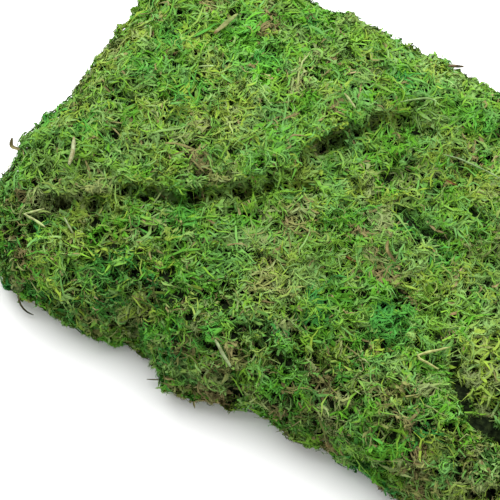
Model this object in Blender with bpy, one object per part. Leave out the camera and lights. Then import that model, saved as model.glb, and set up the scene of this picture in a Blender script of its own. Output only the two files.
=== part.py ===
"""Pressed clump of preserved moss: two matted sheets, with dry straws and stems caught in them.

Metres, +Z up. The origin is on the ground under the middle of the clump, +X runs along its long
side, and +Y points away from its front edge. The lower sheet is a pillow with a flat base, and
the upper sheet lies in a recess of it, with a torn front lip over a narrow gap.
"""

import math

import bmesh
import bpy
from mathutils import Matrix, Vector, noise
from mathutils.bvhtree import BVHTree

MM = 0.001

# Overall size
LENGTH = 0.300
WIDTH = 0.200
LOWER_TOP = 0.046
UPPER_BOTTOM = 0.037
UPPER_TOP = 0.0545
CORNER_RADIUS = 0.032

# Rounding of the sides: depth is measured in from the side, rise up or down from the top or base
SHOULDER_DEPTH = 0.022
SHOULDER_RISE = 0.020
HEM_DEPTH = 0.010
HEM_RISE = 0.013

# Gaps and insets between the two sheets
TOUCH_GAP = 0.0004
UPPER_INSET = 0.002

# Cells of each sheet's surface: along, across and up
LOWER_CELLS = (50, 34, 6)
UPPER_CELLS = (44, 22, 2)

# Unevenness: height and length of each kind of wave
SWELL_HEIGHT = 0.0045
SWELL_LENGTH = 0.055
TUFT_HEIGHT = 0.0046
TUFT_LENGTH = 0.015
RUFFLE_HEIGHT = 0.0018
EDGE_HEIGHT = 0.0022
EDGE_LENGTH = 0.040
TEAR_HEIGHT = 0.0022
TEAR_LENGTH = 0.011

# Plan of the front edge, which goes in and out: points of it in millimetres
FRONT_EDGE_MM = [(-150, -96), (-124, -98), (-106, -99), (-95, -101), (-83, -101), (-74, -99),
                 (-66, -95), (-56, -94), (-42, -101), (-22, -101), (-14, -101), (-8, -98),
                 (3, -96), (14, -96), (25, -98), (34, -96), (60, -96), (75, -98), (92, -98),
                 (150, -96)]

# Places of the unevenness in the noise
SWELL_SEED = Vector((3.1, 7.7, 0.4))
TUFT_SEED = Vector((11.3, 2.9, 5.1))
EDGE_SEED = Vector((6.2, 1.8, 9.5))
TEAR_SEED = Vector((0.7, 4.4, 2.6))

# Front lip of the upper sheet, from the left side to the far side, in millimetres
LIP_MM = [(-148, -68), (-124, -67), (-102, -53), (-94, -41), (-72, -35), (-47, -14), (-31, 2),
          (-34, 12), (-25, 32), (-14, 48), (4, 61), (14, 76), (15, 98)]

# Ends of the upper sheet's plan on the left side and on the far side, in millimetres
LEFT_END_MM = (-148, 50)
FAR_END_MM = (-100, 98)

# Profile of the lip
LIP_DROP = 0.0025
LIP_ROUNDING = 0.016
LIP_BULGE = 0.0012
LIP_TUCK = 0.0010
LIP_LIFT = 0.0015
LIP_FIRM = 0.012          # tufts fade out this far behind the lip, to keep its gap
LIP_HELD = 0.08           # share of the lip at each end that runs straight across the shoulder

# The right and left ends of the lip sink level with the lower sheet
RIGHT_SINK = 0.0065
RIGHT_SINK_START = 0.68
LEFT_SINK = 0.0035
LEFT_SINK_END = 0.16

# Gap in front of the lip: narrow, and open at the named places (x, y, reach in millimetres)
GAP_NARROW = 0.0008
GAP_OPEN = 0.0042
OPEN_PLACES_MM = [(-108, -56, 16), (-46, -13, 15), (-24, 36, 17)]

# Pits in the lower sheet: x, y, radius and depth in millimetres
PITS_MM = [(8, 27, 6, 5), (21, 12, 6, 6), (31, 6, 6, 6), (38, 5, 5, 5), (32, -24, 5, 4),
           (-88, -64, 6, 6), (-98, -61, 5, 3), (77, -50, 6, 4), (92, -62, 7, 4), (29, -58, 6, 3),
           (8, -67, 6, 3)]

# Furrow across the right part of the lower sheet, in millimetres
FURROW_MM = [(40, -2), (48, -17), (54, -34), (66, -43), (77, -50), (92, -62), (128, -76)]
FURROW_DEPTH = 0.0045
FURROW_HALF_WIDTH = 0.006

# Straws, stems and fibre: route in plan in millimetres, radius at the middle, radius at the ends
STRAWS = {
    "broad_straw": ([(-123, -37), (-119, -44), (-117, -50)], 0.0012, 0.0006),
    "bent_straw": ([(-118, -69), (-124, -76), (-119, -76), (-112, -77)], 0.0007, 0.0004),
    "short_straw": ([(-108, -69), (-100, -74)], 0.0006, 0.0004),
    "front_straw": ([(-21, -87), (-16, -90), (-10, -93)], 0.0008, 0.0005),
    "lip_straw": ([(-32, 43), (-28, 41), (-24, 39)], 0.0007, 0.0004),
    "back_straw": ([(-96, 23), (-90, 27)], 0.0006, 0.0004),
    "curved_stem": ([(-10, 55), (-6, 59), (-1, 64), (3, 65), (4, 62)], 0.0006, 0.0004),
    "pale_fibre": ([(18, 43), (24, 44), (31, 44), (38, 44), (46, 43)], 0.0004, 0.0003),
    "forked_straw": ([(64, -39), (54, -52), (65, -52)], 0.0007, 0.0004),
    "edge_twig": ([(-2, 88), (4, 92)], 0.0009, 0.0006),
}
STRAW_STEP = 0.003
STRAW_REACH = 0.004

# Dry leaf: ends in millimetres, and half its width and thickness
LEAF_MM = [(-100, 43), (-97, 60)]
LEAF_HALF_WIDTH = 0.0013
LEAF_HALF_THICKNESS = 0.0005
LEAF_STEPS = 12
LEAF_SEGMENTS = (10, 8)

# Colours of the materials
MOSS_GREEN = (0.110, 0.230, 0.035)
MOSS_DARK = (0.070, 0.150, 0.030)
STRAW_TAN = (0.560, 0.430, 0.200)
STEM_PALE = (0.480, 0.560, 0.260)
TWIG_BROWN = (0.160, 0.110, 0.050)

# Roughness of the materials
MOSS_ROUGHNESS = 0.9
STRAW_ROUGHNESS = 0.7
LEAF_ROUGHNESS = 0.6

# Small distances: what counts as the same height, and as the same point
FLAT_TOLERANCE = 0.000001
MERGE_DISTANCE = 0.00001

LIP_STEP = 0.02            # share of the lip over which its direction is measured
SKY = 1.0                  # height that surfaces are looked down on from
DOWN = Vector((0, 0, -1))


def metres(pair):
    """Plan point in metres from one in millimetres."""
    return Vector((pair[0] * MM, pair[1] * MM))


def past(value, start, span):
    """Share of a span that a value has gone past its start, from 0 to 1."""
    return min(max((value - start) / span, 0.0), 1.0)


def smooth(share):
    """Ease a share in and out."""
    return share * share * (3 - 2 * share)


def quarter_round(out, up):
    """Bend the corner of a unit square into a quarter circle."""
    return out * math.sqrt(1 - up * up / 2), up * math.sqrt(1 - out * out / 2)


def round_edge(point, half, top, depth, rise):
    """Round the upper edges of a box of the given half sizes and top."""
    x, y, z = point
    core_x = half.x - depth
    core_y = half.y - depth
    out_x = past(abs(x), core_x, depth)
    out_y = past(abs(y), core_y, depth)
    out = max(out_x, out_y)
    up = past(z, top - rise, rise)
    new_out, new_up = quarter_round(out, up)
    pull = new_out / out if out else 1.0
    if out_x:
        x = math.copysign(core_x + out_x * pull * depth, x)
    if out_y:
        y = math.copysign(core_y + out_y * pull * depth, y)
    if up:
        z = top - rise + new_up * rise
    return x, y, z


def front_inset(x):
    """How far the front edge lies inside the clump's width at a place along it."""
    for (start, near), (end, far) in zip(FRONT_EDGE_MM, FRONT_EDGE_MM[1:]):
        if x <= end * MM:
            share = past(x, start * MM, (end - start) * MM)
            return WIDTH / 2 + (near + (far - near) * share) * MM
    return WIDTH / 2 + FRONT_EDGE_MM[-1][1] * MM


def wavy_plan(x, y):
    """Round the corners of the plan, and push its sides in and out as torn edges are."""
    y += front_inset(x) * smooth(past(-y, WIDTH / 4, WIDTH / 4))
    core = Vector((LENGTH / 2 - CORNER_RADIUS, WIDTH / 2 - CORNER_RADIUS))
    out_x = past(abs(x), core.x, CORNER_RADIUS)
    out_y = past(abs(y), core.y, CORNER_RADIUS)
    new_x, new_y = quarter_round(out_x, out_y)
    x += math.copysign(1, x) * (new_x - out_x) * CORNER_RADIUS
    y += math.copysign(1, y) * (new_y - out_y) * CORNER_RADIUS
    away = Vector((math.copysign(new_x, x), math.copysign(new_y, y)))
    reach = away.length
    if reach:
        wave = noise.noise(Vector((x, y, 0)) / EDGE_LENGTH + EDGE_SEED)
        x += away.x * reach * wave * EDGE_HEIGHT
        y += away.y * reach * wave * EDGE_HEIGHT
    return x, y


def swell(x, y):
    """Broad rise and fall that both sheets share."""
    return SWELL_HEIGHT * noise.noise(Vector((x, y, 0)) / SWELL_LENGTH + SWELL_SEED)


def tuft(place):
    """Height of the tufts at a place: rounded lumps with creases between them, and a ruffle."""
    spread = noise.voronoi(place / TUFT_LENGTH + TUFT_SEED)[0]
    lump = 0.5 - spread[0]
    ruffle = noise.noise(place * 2 / TUFT_LENGTH + TUFT_SEED)
    return lump * TUFT_HEIGHT + ruffle * RUFFLE_HEIGHT


def distance_to_route(place, route):
    """Shortest distance from a plan point to a broken line."""
    distances = []
    for start, end in zip(route, route[1:]):
        run = end - start
        share = min(max((place - start).dot(run) / run.length_squared, 0.0), 1.0)
        distances.append((place - start - run * share).length)
    return min(distances)


def hollows(x, y):
    """Depth of the pits and the furrow at a plan point of the lower sheet."""
    place = Vector((x, y))
    depth = 0.0
    for pit_x, pit_y, radius, pit_depth in PITS_MM:
        away = (place - metres((pit_x, pit_y))).length / (radius * MM)
        depth += pit_depth * MM * math.exp(-away * away)
    route = [metres(pair) for pair in FURROW_MM]
    away = distance_to_route(place, route) / FURROW_HALF_WIDTH
    return depth + FURROW_DEPTH * math.exp(-away * away)


def along(route, share):
    """Point at a share of a broken line's length."""
    lengths = [(end - start).length for start, end in zip(route, route[1:])]
    left = share * sum(lengths)
    for start, end, length in zip(route, route[1:], lengths):
        if left <= length:
            return start.lerp(end, left / length)
        left -= length
    return route[-1].copy()


def lip_point(share, forward):
    """Point of the torn lip, moved forward off the upper sheet."""
    route = [metres(pair) for pair in LIP_MM]
    point = along(route, share)
    ahead = along(route, min(share + LIP_STEP, 1.0)) - along(route, max(share - LIP_STEP, 0.0))
    front = Vector((ahead.y, -ahead.x)).normalized()
    tear = noise.noise(Vector((point.x, point.y, 0)) / TEAR_LENGTH + TEAR_SEED)
    held = smooth(past(share, LIP_HELD, LIP_HELD)) * smooth(past(1 - share, LIP_HELD, LIP_HELD))
    return point + front * (forward + tear * TEAR_HEIGHT * held)


def gap_at(share):
    """Width of the gap in front of the lip."""
    point = lip_point(share, 0)
    width = GAP_NARROW
    for place_x, place_y, reach in OPEN_PLACES_MM:
        away = (point - metres((place_x, place_y))).length / (reach * MM)
        width += GAP_OPEN * math.exp(-away * away)
    return width


def upper_plan(share, inward, forward):
    """Plan point of the upper sheet: share runs along the lip, inward from it to the far corner."""
    corner = Vector((-LENGTH / 2 + UPPER_INSET, WIDTH / 2 - UPPER_INSET))
    outer = [metres(LEFT_END_MM), corner, metres(FAR_END_MM)]
    start, end = metres(LIP_MM[0]), metres(LIP_MM[-1])
    point = lip_point(share, forward) * (1 - inward) + along(outer, share) * inward
    point += start.lerp(outer[0], inward) * (1 - share) + end.lerp(outer[-1], inward) * share
    point -= start.lerp(end, share) * (1 - inward) + outer[0].lerp(outer[-1], share) * inward
    return point


def sink(share, inward):
    """How far the upper sheet sinks towards the two ends of its lip."""
    right = RIGHT_SINK * smooth(past(share, RIGHT_SINK_START, 1 - RIGHT_SINK_START))
    left = LEFT_SINK * smooth(past(LEFT_SINK_END - share, 0, LEFT_SINK_END))
    return (right + left) * (1 - inward)


def brick(cells):
    """Box from (0, 0, 0) to (1, 1, 1), cut into cells along X, Y and Z."""
    mesh = bmesh.new()
    bmesh.ops.create_cube(mesh, size=1, matrix=Matrix.Translation((0.5, 0.5, 0.5)))
    for axis, count in enumerate(cells):
        edges = [edge for edge in mesh.edges
                 if abs(edge.verts[0].co[axis] - edge.verts[1].co[axis]) > 0.5]
        bmesh.ops.subdivide_edges(mesh, edges=edges, cuts=count - 1, use_grid_fill=True)
    return mesh


def join_flat_base(mesh, height):
    """Make one face of all the faces that lie flat at a height."""
    flat = [face for face in mesh.faces
            if all(abs(vert.co.z - height) < FLAT_TOLERANCE for vert in face.verts)]
    bmesh.ops.dissolve_faces(mesh, faces=flat, use_verts=True)


def shape_lower():
    """Mesh of the lower sheet, before its recess is cut."""
    half = Vector((LENGTH / 2, WIDTH / 2))
    middle = LOWER_TOP / 2
    mesh = brick(LOWER_CELLS)
    for vert in mesh.verts:
        x = (vert.co.x - 0.5) * LENGTH
        y = (vert.co.y - 0.5) * WIDTH
        z = vert.co.z * LOWER_TOP
        if z > middle:
            x, y, z = round_edge((x, y, z), half, LOWER_TOP, SHOULDER_DEPTH, SHOULDER_RISE)
        else:
            x, y, z = round_edge((x, y, -z), half, 0, HEM_DEPTH, HEM_RISE)
            z = -z
        x, y = wavy_plan(x, y)
        upper_half = smooth(past(z, middle, middle))
        z += (swell(x, y) - hollows(x, y)) * upper_half
        vert.co = x, y, z
    mesh.normal_update()
    for vert in mesh.verts:
        if vert.co.z > TOUCH_GAP:
            vert.co += vert.normal * tuft(vert.co)
            vert.co.z = max(vert.co.z, 0)
    join_flat_base(mesh, 0)
    return mesh


def shape_upper():
    """Mesh of the upper sheet."""
    half = Vector((LENGTH / 2 - UPPER_INSET, WIDTH / 2 - UPPER_INSET))
    thickness = UPPER_TOP - UPPER_BOTTOM
    mesh = brick(UPPER_CELLS)
    loose = {}
    for vert in mesh.verts:
        share, inward, level = vert.co
        forward = -LIP_TUCK * (1 - level) + LIP_BULGE * 4 * level * (1 - level)
        x, y = upper_plan(share, inward, forward)
        behind = (Vector((x, y)) - lip_point(share, forward)).length
        near_lip = 1 - past(behind, 0, LIP_ROUNDING)
        z = UPPER_BOTTOM + level * thickness
        x, y, z = round_edge((x, y, z), half, UPPER_TOP, SHOULDER_DEPTH, thickness)
        x, y = wavy_plan(x, y)
        lowered = sink(share, inward) + LIP_DROP * near_lip * near_lip
        z += level * (swell(x, y) - lowered)
        if inward == 0 and level == 0:
            z += LIP_LIFT
        vert.co = x, y, z
        if inward > 0 and level > 0:
            loose[vert] = past(behind, 0, LIP_FIRM)
    mesh.normal_update()
    for vert, share in loose.items():
        vert.co += vert.normal * share * tuft(vert.co)
    join_flat_base(mesh, UPPER_BOTTOM)
    return mesh


def recess_outline():
    """Plan of the recess: a gap in front of the lip, and past the clump's sides elsewhere."""
    count = UPPER_CELLS[0]
    outline = []
    for step in range(count + 1):
        share = step / count
        point = lip_point(share, LIP_BULGE + gap_at(share))
        outline.append(wavy_plan(*point))
    first_y = outline[0][1]
    last_x = outline[-1][0]
    return outline + [(last_x, WIDTH), (-LENGTH, WIDTH), (-LENGTH, first_y)]


def add_object(name, mesh_data, collection):
    """Put a mesh in the scene as an object."""
    item = bpy.data.objects.new(name, mesh_data)
    collection.objects.link(item)
    return item


def add_material(item, colour, roughness):
    """Give an object a material of its own."""
    material = bpy.data.materials.new(item.name)
    material.use_nodes = True
    shader = material.node_tree.nodes["Principled BSDF"]
    shader.inputs["Base Color"].default_value = (*colour, 1)
    shader.inputs["Roughness"].default_value = roughness
    shader.inputs["Metallic"].default_value = 0
    item.data.materials.append(material)


def as_object(name, mesh, fit, collection):
    """Turn a bmesh into an object, after fitting it to the clump's size."""
    mesh.transform(fit)
    data = bpy.data.meshes.new(name)
    mesh.to_mesh(data)
    mesh.free()
    data.shade_smooth()
    return add_object(name, data, collection)


def fit_to_size(mesh):
    """Matrix that centres a mesh in plan and gives it the clump's length and width."""
    xs = [vert.co.x for vert in mesh.verts]
    ys = [vert.co.y for vert in mesh.verts]
    centre = Vector(((min(xs) + max(xs)) / 2, (min(ys) + max(ys)) / 2, 0))
    scale = Matrix.Diagonal((LENGTH / (max(xs) - min(xs)), WIDTH / (max(ys) - min(ys)), 1, 1))
    return scale @ Matrix.Translation(-centre)


def recess_cutter(fit, collection):
    """Block over the recess, whose underside is the recess's floor."""
    curve = bpy.data.curves.new("recess_outline", "CURVE")
    curve.dimensions = "2D"
    curve.fill_mode = "BOTH"
    curve.extrude = LOWER_TOP / 2
    outline = recess_outline()
    spline = curve.splines.new("POLY")
    spline.points.add(len(outline) - 1)
    for place, (x, y) in zip(spline.points, outline):
        place.co = (x, y, 0, 1)
    spline.use_cyclic_u = True
    guide = add_object("recess_guide", curve, collection)
    bpy.context.view_layer.update()
    solid = bpy.data.meshes.new_from_object(guide.evaluated_get(bpy.context.evaluated_depsgraph_get()))
    bpy.data.objects.remove(guide)
    mesh = bmesh.new()
    mesh.from_mesh(solid)
    bmesh.ops.remove_doubles(mesh, verts=mesh.verts, dist=MERGE_DISTANCE)
    floor = UPPER_BOTTOM - TOUCH_GAP
    mesh.transform(Matrix.Translation((0, 0, floor + LOWER_TOP / 2)))
    bmesh.ops.recalc_face_normals(mesh, faces=mesh.faces)
    cutter = as_object("recess_cutter", mesh, fit, collection)
    cutter.hide_render = True
    cutter.display_type = "WIRE"
    return cutter


def add_sheets(parts, cutters):
    """The two matted sheets."""
    mesh = shape_lower()
    fit = fit_to_size(mesh)
    lower = as_object("lower_moss_mat", mesh, fit, parts)
    cut = lower.modifiers.new("recess", "BOOLEAN")
    cut.operation = "DIFFERENCE"
    cut.solver = "EXACT"
    cut.object = recess_cutter(fit, cutters)
    add_material(lower, MOSS_DARK, MOSS_ROUGHNESS)
    upper = as_object("upper_moss_mat", shape_upper(), fit, parts)
    add_material(upper, MOSS_GREEN, MOSS_ROUGHNESS)
    return lower, upper


def surface_height(trees, x, y):
    """Height of whatever is highest at a plan point."""
    hits = [tree.ray_cast(Vector((x, y, SKY)), DOWN)[0] for tree in trees]
    return max((hit.z for hit in hits if hit), default=0)


def bed_height(trees, place, side, radius):
    """Highest surface across a straw's width."""
    return max(surface_height(trees, *(place + side * radius * edge)) for edge in (-1, 0, 1))


def straw_points(trees, route, radius):
    """Points of a straw that lies on the moss, a little above its lumps."""
    length = sum((end - start).length for start, end in zip(route, route[1:]))
    fine = max(round(length / MM), 4)
    places = [along(route, step / fine) for step in range(fine + 1)]
    beds = []
    for step, place in enumerate(places):
        run = places[min(step + 1, fine)] - places[max(step - 1, 0)]
        side = Vector((-run.y, run.x)).normalized()
        beds.append(bed_height(trees, place, side, radius))
    reach = round(STRAW_REACH / MM)
    highest = [max(beds[max(step - reach, 0):step + reach + 1]) for step in range(fine + 1)]
    points = []
    count = max(round(length / STRAW_STEP), 2)
    for step in range(count + 1):
        at = round(step * fine / count)
        near = highest[max(at - reach // 2, 0):at + reach // 2 + 1]
        height = sum(near) / len(near) + radius + TOUCH_GAP
        points.append(Vector((*places[at], height)))
    return points


def add_straw(name, trees, route_mm, middle_radius, end_radius, colour, collection):
    """Straw, stem or fibre that tapers to both ends."""
    points = straw_points(trees, [metres(pair) for pair in route_mm], middle_radius)
    curve = bpy.data.curves.new(name, "CURVE")
    curve.dimensions = "3D"
    curve.bevel_depth = middle_radius
    curve.bevel_resolution = 1
    curve.use_fill_caps = True
    spline = curve.splines.new("POLY")
    spline.points.add(len(points) - 1)
    for step, (place, point) in enumerate(zip(spline.points, points)):
        to_end = abs(2 * step / (len(points) - 1) - 1)
        place.co = (*point, 1)
        place.radius = 1 - (1 - end_radius / middle_radius) * to_end * to_end
    straw = add_object(name, curve, collection)
    add_material(straw, colour, STRAW_ROUGHNESS)


def add_leaf(trees, collection):
    """Thin dry leaf, lying on the upper sheet."""
    start, end = (metres(pair) for pair in LEAF_MM)
    half_length = (end - start).length / 2
    side = Vector((start.y - end.y, end.x - start.x)).normalized()
    beds = [bed_height(trees, start.lerp(end, step / LEAF_STEPS), side, LEAF_HALF_WIDTH)
            for step in range(LEAF_STEPS + 1)]
    rise = beds[-1] - beds[0]
    lift = max(bed - beds[0] - rise * step / LEAF_STEPS for step, bed in enumerate(beds))
    height = beds[0] + rise / 2 + lift + LEAF_HALF_THICKNESS + TOUCH_GAP
    mesh = bmesh.new()
    around, along_it = LEAF_SEGMENTS
    bmesh.ops.create_uvsphere(mesh, u_segments=around, v_segments=along_it, radius=1)
    bmesh.ops.rotate(mesh, verts=mesh.verts, matrix=Matrix.Rotation(math.pi / 2, 3, "Y"))
    bmesh.ops.scale(mesh, verts=mesh.verts,
                    vec=(half_length, LEAF_HALF_WIDTH, LEAF_HALF_THICKNESS))
    data = bpy.data.meshes.new("dry_leaf")
    mesh.to_mesh(data)
    mesh.free()
    data.shade_smooth()
    leaf = add_object("dry_leaf", data, collection)
    leaf.location = (*start.lerp(end, 0.5), height)
    turn = math.atan2(end.y - start.y, end.x - start.x)
    tilt = math.atan2(rise, 2 * half_length)
    leaf.rotation_euler = (0, -tilt, turn)
    add_material(leaf, STRAW_TAN, LEAF_ROUGHNESS)


def straw_colour(name):
    """Colour of a straw, stem or twig by its kind."""
    if "twig" in name:
        return TWIG_BROWN
    if "stem" in name or "fibre" in name:
        return STEM_PALE
    return STRAW_TAN


def add_collection(name):
    """New collection in the scene."""
    collection = bpy.data.collections.new(name)
    bpy.context.scene.collection.children.link(collection)
    return collection


def build():
    """Make the whole clump."""
    for item in list(bpy.data.objects):
        bpy.data.objects.remove(item)
    parts = add_collection("moss_clump")
    cutters = add_collection("cutters")
    sheets = add_sheets(parts, cutters)
    bpy.context.view_layer.update()
    depsgraph = bpy.context.evaluated_depsgraph_get()
    trees = [BVHTree.FromObject(sheet, depsgraph) for sheet in sheets]
    for name, (route_mm, middle_radius, end_radius) in STRAWS.items():
        add_straw(name, trees, route_mm, middle_radius, end_radius, straw_colour(name), parts)
    add_leaf(trees, parts)


build()
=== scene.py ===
"""Looks of a pressed clump of preserved moss: the strands of its two mats, its straws and its leaf.

Metres, in the part's own frame. Each mat has a dark inside, its green-brown deepened as painted
shade deep among the strands, and thousands of narrow curved ribbons and leafy stems over it. They
wander along one even surface laid over both mats, the guide: they start under it, come up to it
and mostly go under again. The guide is divided into small tufts, each with its own tone, height and
lie. A strand's UV map holds its place on the palette and its light, partly painted light and shade;
from these its material makes its colour.
"""

import math

import bmesh
import bpy
import numpy as np
from mathutils import Matrix, Vector, noise
from mathutils.bvhtree import BVHTree
from mathutils.kdtree import KDTree


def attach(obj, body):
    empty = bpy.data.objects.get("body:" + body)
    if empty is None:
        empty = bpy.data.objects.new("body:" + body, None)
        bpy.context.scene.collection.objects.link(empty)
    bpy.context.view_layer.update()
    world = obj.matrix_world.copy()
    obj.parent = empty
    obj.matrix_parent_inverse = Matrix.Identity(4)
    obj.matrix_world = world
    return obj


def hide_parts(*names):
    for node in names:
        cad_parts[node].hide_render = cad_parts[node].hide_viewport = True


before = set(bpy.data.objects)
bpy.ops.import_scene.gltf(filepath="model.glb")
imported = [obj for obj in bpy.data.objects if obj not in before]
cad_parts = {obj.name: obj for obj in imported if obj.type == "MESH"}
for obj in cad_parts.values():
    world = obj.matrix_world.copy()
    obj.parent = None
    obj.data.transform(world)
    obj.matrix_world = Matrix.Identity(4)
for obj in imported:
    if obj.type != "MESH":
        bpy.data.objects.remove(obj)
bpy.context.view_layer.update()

MM = 0.001
SEED = 20
UP = Vector((0, 0, 1))

# Height from which rays are cast down, and the least length that a vector is divided by
ABOVE = 1
TINY = 1e-12

# Mats, and the name that begins each one's pieces
MATS = {"lower_moss_mat": "lower_moss", "upper_moss_mat": "upper_moss"}

# Camera: an orbit round a target, as the photograph was taken
CAMERA_AZIMUTH = 30.4405
CAMERA_ELEVATION = 58.8067
CAMERA_DISTANCE = 0.7306
CAMERA_TARGET = Vector((-0.0355, -0.0339, 0.030))
CAMERA_LENS = 120

# Light and floor
SKY_STRENGTH = 0.78
KEY_POWER = 38.0
KEY_SIZE = 1.9
KEY_PLACE = Vector((-0.33, 0.50, 1.04))
FLOOR_SIZE = 6.0
FLOOR_COLOUR = (0.94, 0.94, 0.94)

# Torn lip of the upper mat, in millimetres in plan
LIP_MM = [(-148, -68), (-124, -67), (-102, -53), (-94, -41), (-72, -35), (-47, -14), (-31, 2),
          (-34, 12), (-25, 32), (-14, 48), (4, 61), (14, 76), (15, 98)]

# Places where the gap under the lip is open, in millimetres: x, y and reach
OPEN_PLACES_MM = [(-116, -62, 4), (-103, -54, 3.5), (-93, -41, 4), (-72, -37, 5), (-58, -27, 5),
                  (-50, -17, 4.5), (-43, -8, 2.5), (-35, 9, 2.5), (-29, 21, 4), (-26, 28, 4),
                  (-22, 36, 4.5), (-17, 43, 4), (-85, -38, 3.5), (-78, -36, 3), (-65, -31, 4)]

# Small pits on top, and bulges at the edge, in millimetres: x, y, reach and depth or height
PITS_MM = [(-104, 25, 2, 2), (-46, 68, 2, 2), (9, 27, 2, 3), (27, -58, 2, 2), (-27, -26, 2, 3),
           (-56, -57, 2, 2)]
BULGES_MM = [(-150, -42, 20, 4.5), (-34, -101, 9, 3.5)]

# Slots between tufts, with painted shade, in millimetres: both ends in plan, half width and depth
SLOTS_MM = [
    (74, -50, 83, -60, 1.6, 7), (88, -62, 98, -63, 1.6, 7), (66, -39, 70, -44, 1.4, 6),
    (56, -35, 57, -35, 1.7, 5), (15, 11, 26, 8, 1.5, 5), (26, 8, 37, 8, 1.5, 5),
    (43, 25, 48, 24, 1.9, 5), (15, 17, 16, 17, 1.3, 4), (28, -1, 29, 0, 1.5, 4),
    (63, -4, 64, -5, 1.6, 5), (34, -25, 36, -25, 1.6, 5), (60, -86, 61, -84, 1.8, 6),
    (81, -73, 82, -72, 1.5, 5), (-37, -81, -36, -80, 1.7, 5), (-28, -69, -27, -69, 1.6, 5),
    (-15, -76, -8, -71, 1.4, 5), (5, -65, 6, -66, 1.8, 5), (2, -80, 10, -80, 1.6, 6),
    (-30, -98, -29, -99, 1.6, 4), (-10, -95, -6, -92, 1.6, 5), (-37, -93, -36, -93, 1.8, 5),
    (9, -91, 10, -92, 1.6, 4), (-98, -61, -97, -60, 2.0, 6), (-87, -67, -85, -66, 2.0, 6),
]

# Depth at which a slot's painted shade is full, lowest height with slots, and how dark their
# painted shade is and how clear they are
SLOT_FULL = 0.0045
SLOT_FLOOR = 0.012
SLOT_SHADE = 0.90
SLOT_CLEAR = 0.75

# Balls that fill the gap under the lip where it is closed, and how open it is at most there
FILLER_STEP = 0.0025
FILLER_RADIUS = 0.0050
FILLER_ROUNDNESS = 2
FILLER_DROP = 0.0058
FILLER_FORWARD = 0.0015
FILLER_REACHES = (-0.006, 0.007)
OPEN_LIMIT = 0.35

# Lip and the pockets under it in its open places
LIP_STEP = 0.001
LIP_RAISE = 0.0012
LIP_OVERHANG = 0.0016
LIP_FLOOR = 0.030
LIP_FADE = 0.006
LIP_REACH = 0.012
LIP_RAGGED = 0.8
LIP_RAGGED_LENGTH = 0.006
LIP_WANDER = 0.0022
CREST_BACK = 0.002
CREST_HALF_WIDTH = 0.004
POCKET_DEPTH = 0.0085
POCKET_FORWARD = 0.0024
POCKET_HALF_WIDTH = 0.0018
POCKET_UNEVEN = 0.5
POCKET_UNEVEN_LENGTH = 0.005
POCKET_UNDERCUT = 0.0036
# Painted shade in the pockets, and how far strands there lean to brown: partly dead moss, partly
# painted shade
POCKET_SHADE = 0.72
POCKET_BROWN_AND_SHADE = 0.16

# Guide: the surface that the strands follow
GUIDE_SWELL = 0.0007
GUIDE_VOXEL = 0.0016
GUIDE_SMOOTHING = 2
SWELL_LENGTH = 0.030
SWELL_HEIGHT = 0.0010
FLAT_BASE = 0.0025
FLAT_SHARE = 0.5

# Tufts: their shape, and how much their tone and light vary
TUFT_SPACING = 0.0060
TUFT_CREASE = 0.0022
TUFT_CREASE_WIDTH = 0.0032
TUFT_UNEVEN = 0.0009
TUFT_MIXING = 0.0012
TUFT_TONE_SPREAD = 0.068
TUFT_LIGHT_SPREAD = 0.080
DOME_MIDDLE = 0.9
DEAD_SHARE = 0.025
DEAD_TONES = (0.36, 0.46)

# Front shoulder, where the moss is rougher
ROUGH_FRONT = -0.052
ROUGH_REACH = 0.025
ROUGH_SHAPE = 0.35

# Dark holes where three tufts meet
HOLE_WIDTH = 0.0026
HOLE_DEPTH = 0.0044
HOLE_SPREAD = 0.009
HOLE_LIMIT = 0.18
HOLE_FRONT = 0.25

# Strand light: painted shade by depth and on the sides; painted light near the floor and high on
# top
STRAND_LIGHT = 0.82
STRAND_LIGHT_SPREAD = 0.022
DARKEST = 0.05
FRONT_SHADE = 1.3
SHADE_PER_METRE = 28
SIDE_SHADE = 0.15
FLOOR_LIGHT = 0.16
FLOOR_LIGHT_REACH = 0.020
BRIGHT_TOP = 1.25
HEIGHT_LIGHT = 12
HEIGHT_MIDDLE = 0.050

# Inside of each mat: a dark sheet under the strands, its green-brown deepened as painted shade
INSIDE_VOXEL = 0.0026
INSIDE_DEPTH = 0.0038
INSIDE_ROUNDS = 5
INSIDE_STEP = 0.0026
INSIDE_SMOOTHING = 2
INSIDE_SOFTENING = 0.5

# Palette: place from 0 to 1, and colour as light reflected
PALETTE = [
    (0.00, (0.060, 0.038, 0.018)),
    (0.08, (0.120, 0.075, 0.034)),
    (0.12, (0.290, 0.140, 0.050)),
    (0.16, (0.330, 0.235, 0.095)),
    (0.24, (0.350, 0.310, 0.135)),
    (0.34, (0.205, 0.165, 0.066)),
    (0.42, (0.240, 0.228, 0.082)),
    (0.49, (0.255, 0.290, 0.078)),
    (0.55, (0.238, 0.316, 0.114)),
    (0.61, (0.252, 0.390, 0.034)),
    (0.66, (0.206, 0.366, 0.104)),
    (0.71, (0.178, 0.382, 0.024)),
    (0.76, (0.144, 0.344, 0.084)),
    (0.81, (0.116, 0.352, 0.016)),
    (0.87, (0.092, 0.325, 0.040)),
    (0.93, (0.058, 0.262, 0.040)),
    (1.00, (0.040, 0.225, 0.050)),
]

# Levels of light on the palette's colours, with a paler painted sheen at the top and deeper painted
# shade at the bottom: place from 0 to 1, and red, green and blue level
SHADE = [(0.0, (0.14, 0.18, 0.15)), (0.28, (0.49, 0.52, 0.48)), (0.56, (0.78, 0.78, 0.78)),
         (0.8, (0.96, 0.94, 1.00)), (1.0, (1.20, 1.15, 1.26))]
SHADE_SCALE = 2

# Tone of the tufts: its middle, and its slow changes, each with its length and height
TONE_CENTRE = 0.70
SLOW_LEAN = (0.026, 0.14)
NEAR_LEAN = (0.009, 0.16)

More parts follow.
